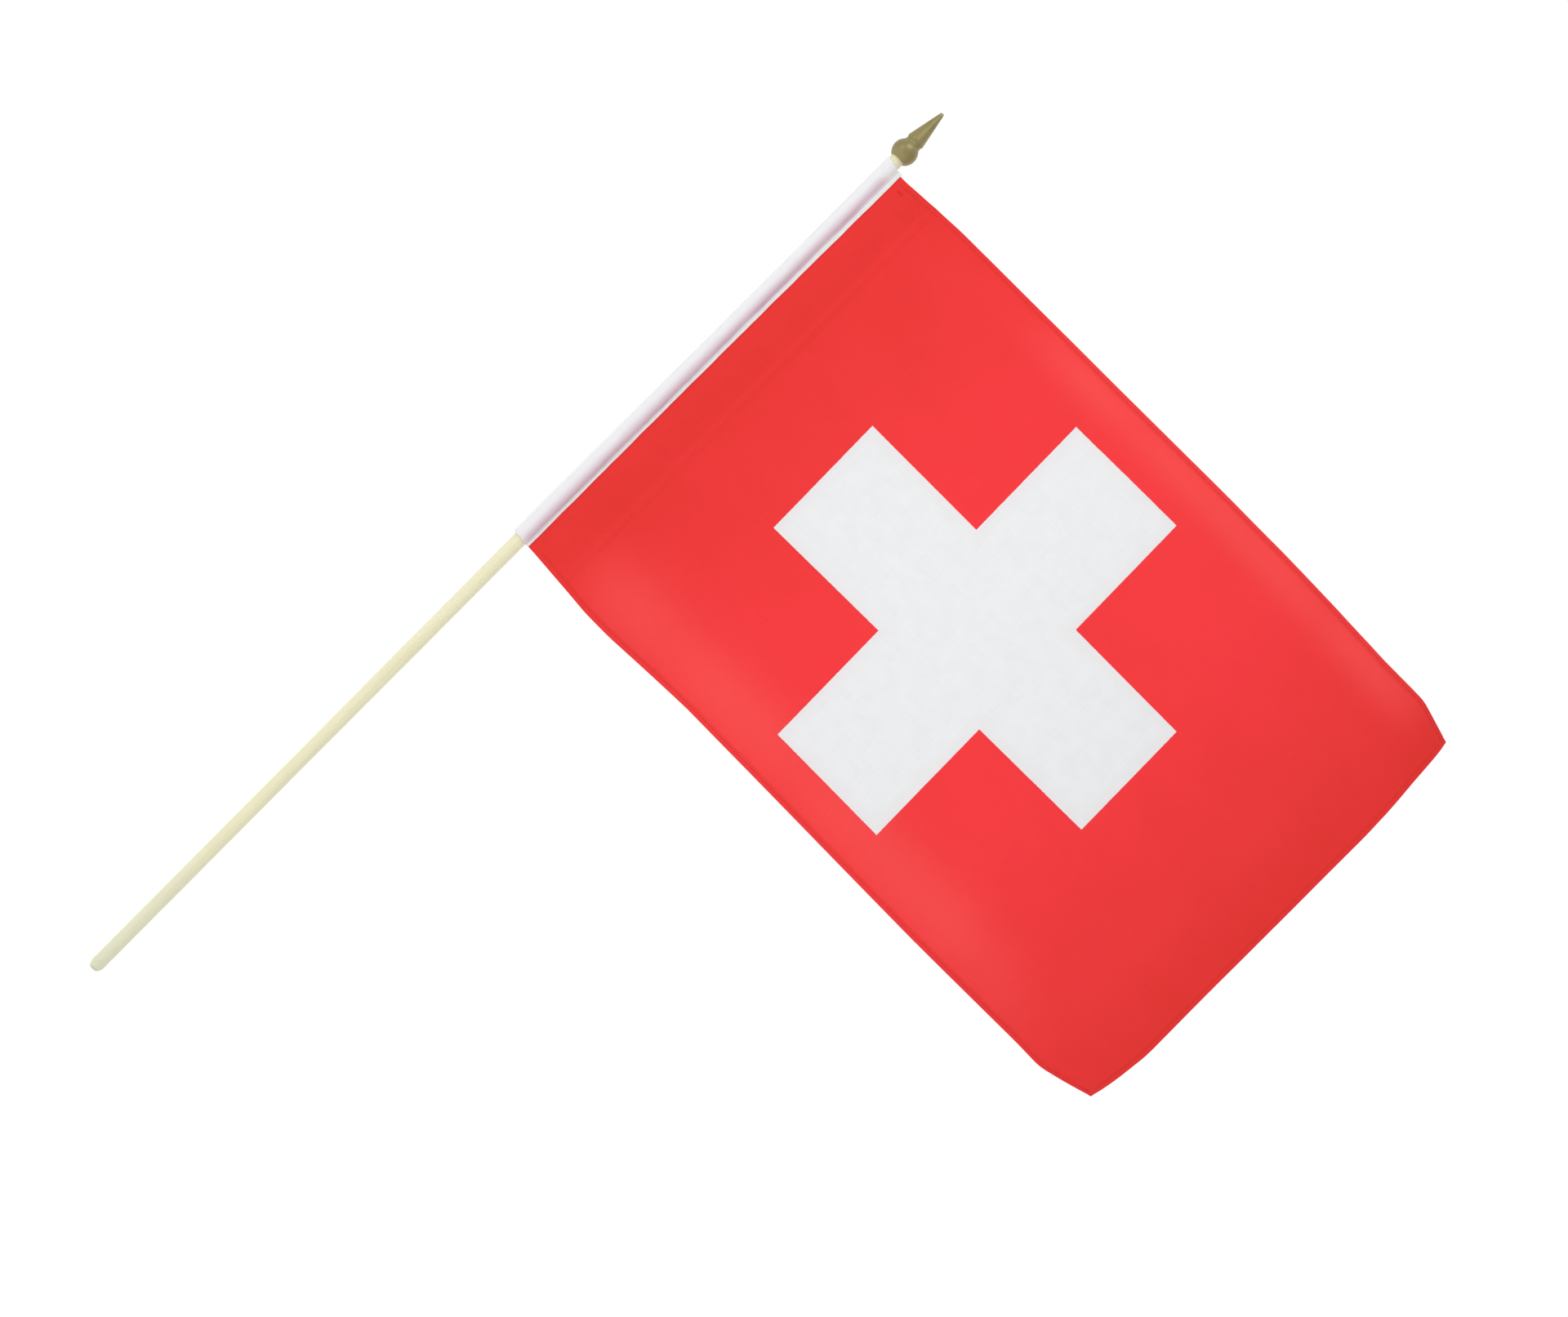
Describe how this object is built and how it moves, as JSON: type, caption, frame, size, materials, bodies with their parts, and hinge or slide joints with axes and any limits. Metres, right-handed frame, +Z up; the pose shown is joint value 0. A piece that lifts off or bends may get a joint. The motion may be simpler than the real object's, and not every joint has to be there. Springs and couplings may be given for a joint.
{
  "type": "stick flag",
  "caption": "Hand-held stick flag: red cloth printed with a white cross, sewn into a white fabric sleeve that turns on a round wooden stick with a gold spear finial.",
  "frame": {"origin": "middle of the small flat on the stick's lower end", "axes": "+Z runs up the stick to the spear's tip, +X runs from the stick to the cloth's fly edge, and the front of the cloth faces -Y"},
  "size_m": [0.461, 0.0146, 0.6781],
  "materials": {
    "wood": "matte",
    "gold_lacquer": "satin",
    "glue": "gloss",
    "white_tape": "matte",
    "printed_polyester": "matte",
    "white_thread": "matte",
    "red_thread": "matte"
  },
  "bodies": {
    "staff": {"wooden_stick": "wood", "spear_finial": "gold_lacquer", "finial_glue": "glue"},
    "sleeve": {"pole_sleeve": "white_tape", "cloth_hoist_strip": "printed_polyester", "sleeve_needle_thread": "white_thread", "sleeve_bobbin_thread": "white_thread"},
    "cloth": {"printed_cloth": "printed_polyester", "top_hem_needle_thread": "red_thread", "top_hem_bobbin_thread": "red_thread", "bottom_hem_needle_thread": "red_thread", "bottom_hem_bobbin_thread": "red_thread", "fly_hem_needle_thread": "red_thread", "fly_hem_bobbin_thread": "red_thread"}
  },
  "joints": [
    {"name": "sleeve_turn", "type": "hinge", "parent": "staff", "child": "sleeve", "pos_m": [0, 0, 0.339], "axis": [0, 0, 1], "continuous": true},
    {"name": "cloth_swing", "type": "hinge", "parent": "sleeve", "child": "cloth", "pos_m": [0.0087, 0, 0.339], "axis": [0, 0, 1], "range_deg": [-120, 120]}
  ]
}
